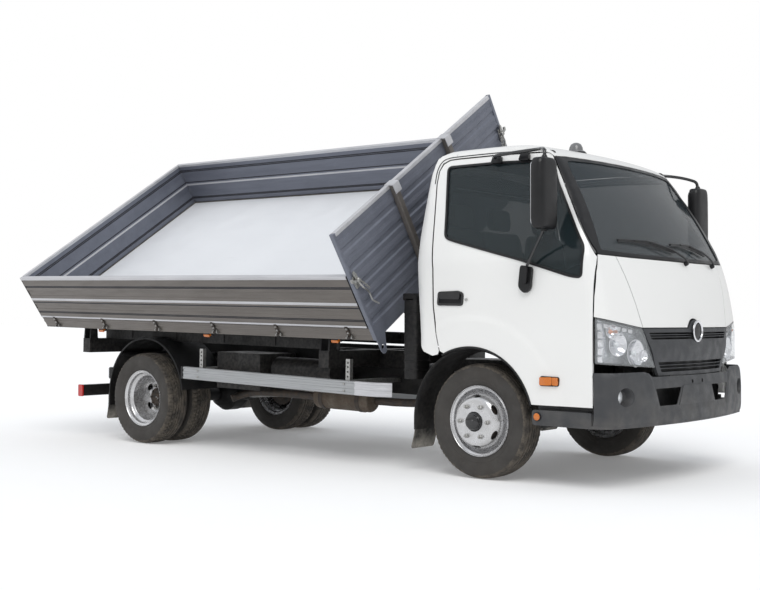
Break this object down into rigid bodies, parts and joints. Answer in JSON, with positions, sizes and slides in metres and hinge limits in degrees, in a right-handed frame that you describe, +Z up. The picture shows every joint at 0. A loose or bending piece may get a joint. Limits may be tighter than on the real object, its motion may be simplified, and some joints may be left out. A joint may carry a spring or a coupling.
{
  "type": "light dump truck",
  "caption": "Light cab-over dump truck with a drop-side bed tipped to one side, opening doors, tilting cab and a telescopic tipping cylinder.",
  "frame": {"origin": "on the ground under the middle of the truck's box, as it stands with its bed tipped", "axes": "+X forward, +Y to the truck's left, +Z up"},
  "size_m": [5.8924, 2.7473, 2.8301],
  "materials": {
    "white_paint": "gloss",
    "black_paint": "satin",
    "grey_plastic": "textured",
    "rubber": "matt",
    "rim_silver": "satin",
    "bare_steel": "satin",
    "board_grey": "satin",
    "floor_pale": "satin",
    "guard_grey": "satin",
    "lamp_clear": "gloss",
    "lamp_red": "gloss",
    "lamp_grey": "gloss",
    "window_glass": "gloss",
    "seat_cloth": "matt",
    "rust_brown": "matt",
    "chrome_rod": "polished"
  },
  "bodies": {
    "chassis": {"ladder_frame": "black_paint", "engine_block": "black_paint", "front_axle": "black_paint", "leaf_springs": "black_paint", "rear_axle": "black_paint", "drive_shaft": "bare_steel", "fuel_tank": "guard_grey", "battery_box": "black_paint", "muffler": "rust_brown", "air_intake": "black_paint", "tipper_subframe": "black_paint", "side_guards": "guard_grey", "rear_fenders": "black_paint", "underrun_bar": "black_paint", "tail_lamps": "lamp_red", "front_mudguards": "black_paint", "cab_steps": "grey_plastic", "front_bumper": "grey_plastic"},
    "steering_knuckle_left": {"knuckle_left": "black_paint"},
    "steering_knuckle_right": {"knuckle_right": "black_paint"},
    "front_wheel_left": {"tyre_front_left": "rubber", "wheel_front_left": "rim_silver"},
    "front_wheel_right": {"tyre_front_right": "rubber", "wheel_front_right": "rim_silver"},
    "rear_wheels_left": {"tyres_rear_left": "rubber", "wheels_rear_left": "rim_silver"},
    "rear_wheels_right": {"tyres_rear_right": "rubber", "wheels_rear_right": "rim_silver"},
    "cab": {"cab_shell": "white_paint", "cab_floor": "black_paint", "front_panel": "white_paint", "grille": "grey_plastic", "headlamps": "lamp_clear", "windscreen": "window_glass", "rear_window": "window_glass", "dashboard": "grey_plastic", "seats": "seat_cloth", "steering_wheel": "grey_plastic", "roof_lamp": "lamp_grey", "wipers": "black_paint"},
    "left_door": {"door_left": "white_paint", "door_glass_left": "window_glass", "mirror_left": "black_paint"},
    "right_door": {"door_right": "white_paint", "door_glass_right": "window_glass", "mirror_right": "black_paint"},
    "bed": {"bed_frame": "black_paint", "bed_floor": "floor_pale", "bed_edges": "board_grey", "front_board": "board_grey"},
    "right_side_board": {"side_board_right": "board_grey"},
    "left_side_board": {"side_board_left": "board_grey"},
    "rear_board": {"tail_board": "board_grey"},
    "barrel": {"cylinder_barrel": "black_paint"},
    "stage_one": {"cylinder_stage_1": "chrome_rod"},
    "stage_two": {"cylinder_stage_2": "chrome_rod"},
    "ram": {"cylinder_ram": "chrome_rod"}
  },
  "joints": [
    {"name": "steer_left", "type": "hinge", "parent": "chassis", "child": "steering_knuckle_left", "pos_m": [1.8142, 0.8987, 0.3835], "axis": [0, 0, 1], "range_deg": [-35, 35]},
    {"name": "steer_right", "type": "hinge", "parent": "chassis", "child": "steering_knuckle_right", "pos_m": [1.8142, -0.5413, 0.3835], "axis": [0, 0, 1], "range_deg": [-35, 35]},
    {"name": "roll_front_left", "type": "hinge", "parent": "steering_knuckle_left", "child": "front_wheel_left", "pos_m": [1.8142, 1.0087, 0.3835], "axis": [0, 1, 0], "continuous": true},
    {"name": "roll_front_right", "type": "hinge", "parent": "steering_knuckle_right", "child": "front_wheel_right", "pos_m": [1.8142, -0.6513, 0.3835], "axis": [0, 1, 0], "continuous": true},
    {"name": "roll_rear_left", "type": "hinge", "parent": "chassis", "child": "rear_wheels_left", "pos_m": [-1.6158, 0.9707, 0.3835], "axis": [0, 1, 0], "continuous": true},
    {"name": "roll_rear_right", "type": "hinge", "parent": "chassis", "child": "rear_wheels_right", "pos_m": [-1.6158, -0.6133, 0.3835], "axis": [0, 1, 0], "continuous": true},
    {"name": "cab_tilt", "type": "hinge", "parent": "chassis", "child": "cab", "pos_m": [2.7992, 0.1787, 0.75], "axis": [0, 1, 0], "range_deg": [0, 45]},
    {"name": "door_left_swing", "type": "hinge", "parent": "cab", "child": "left_door", "pos_m": [2.6992, 1.1637, 1.2], "axis": [0, 0, -1], "range_deg": [0, 70]},
    {"name": "door_right_swing", "type": "hinge", "parent": "cab", "child": "right_door", "pos_m": [2.6992, -0.8063, 1.2], "axis": [0, 0, 1], "range_deg": [0, 70]},
    {"name": "bed_tip", "type": "hinge", "parent": "chassis", "child": "bed", "pos_m": [-0.96687, -0.7713, 1.00406], "axis": [0.9998, 0, -0.0194], "range_deg": [-34, 8]},
    {"name": "side_board_right_drop", "type": "hinge", "parent": "bed", "child": "right_side_board", "pos_m": [-0.96773, -0.92111, 0.95972], "axis": [0.9998, 0, -0.0194], "range_deg": [0, 100]},
    {"name": "side_board_left_drop", "type": "hinge", "parent": "bed", "child": "left_side_board", "pos_m": [-0.94392, 0.90112, 2.18859], "axis": [-0.9998, 0, 0.0194], "range_deg": [0, 100]},
    {"name": "rear_board_drop", "type": "hinge", "parent": "bed", "child": "rear_board", "pos_m": [-2.92546, -0.01, 1.61232], "axis": [-0.0108, -0.829, -0.5591], "range_deg": [0, 100]},
    {"name": "cylinder_lean", "type": "hinge", "parent": "chassis", "child": "barrel", "pos_m": [-0.79291, 0.1787, 0.69063], "axis": [0.9998, 0, -0.0194], "range_deg": [-13, 5]},
    {"name": "stage_one_slide", "type": "slide", "parent": "barrel", "child": "stage_one", "axis": [0.019, -0.194, 0.9808], "range_m": [-0.19, 0.05]},
    {"name": "stage_two_slide", "type": "slide", "parent": "stage_one", "child": "stage_two", "axis": [0.019, -0.194, 0.9808], "range_m": [-0.19, 0.05]},
    {"name": "ram_slide", "type": "slide", "parent": "stage_two", "child": "ram", "axis": [0.019, -0.194, 0.9808], "range_m": [-0.19, 0.05]}
  ],
  "couplings": [
    {"joint": "steer_right", "follows": "steer_left", "ratio": 1},
    {"joint": "cylinder_lean", "follows": "bed_tip", "ratio": 0.32902},
    {"joint": "stage_one_slide", "follows": "bed_tip", "m_per_rad": 0.30669},
    {"joint": "stage_two_slide", "follows": "bed_tip", "m_per_rad": 0.30669},
    {"joint": "ram_slide", "follows": "bed_tip", "m_per_rad": 0.30669}
  ]
}
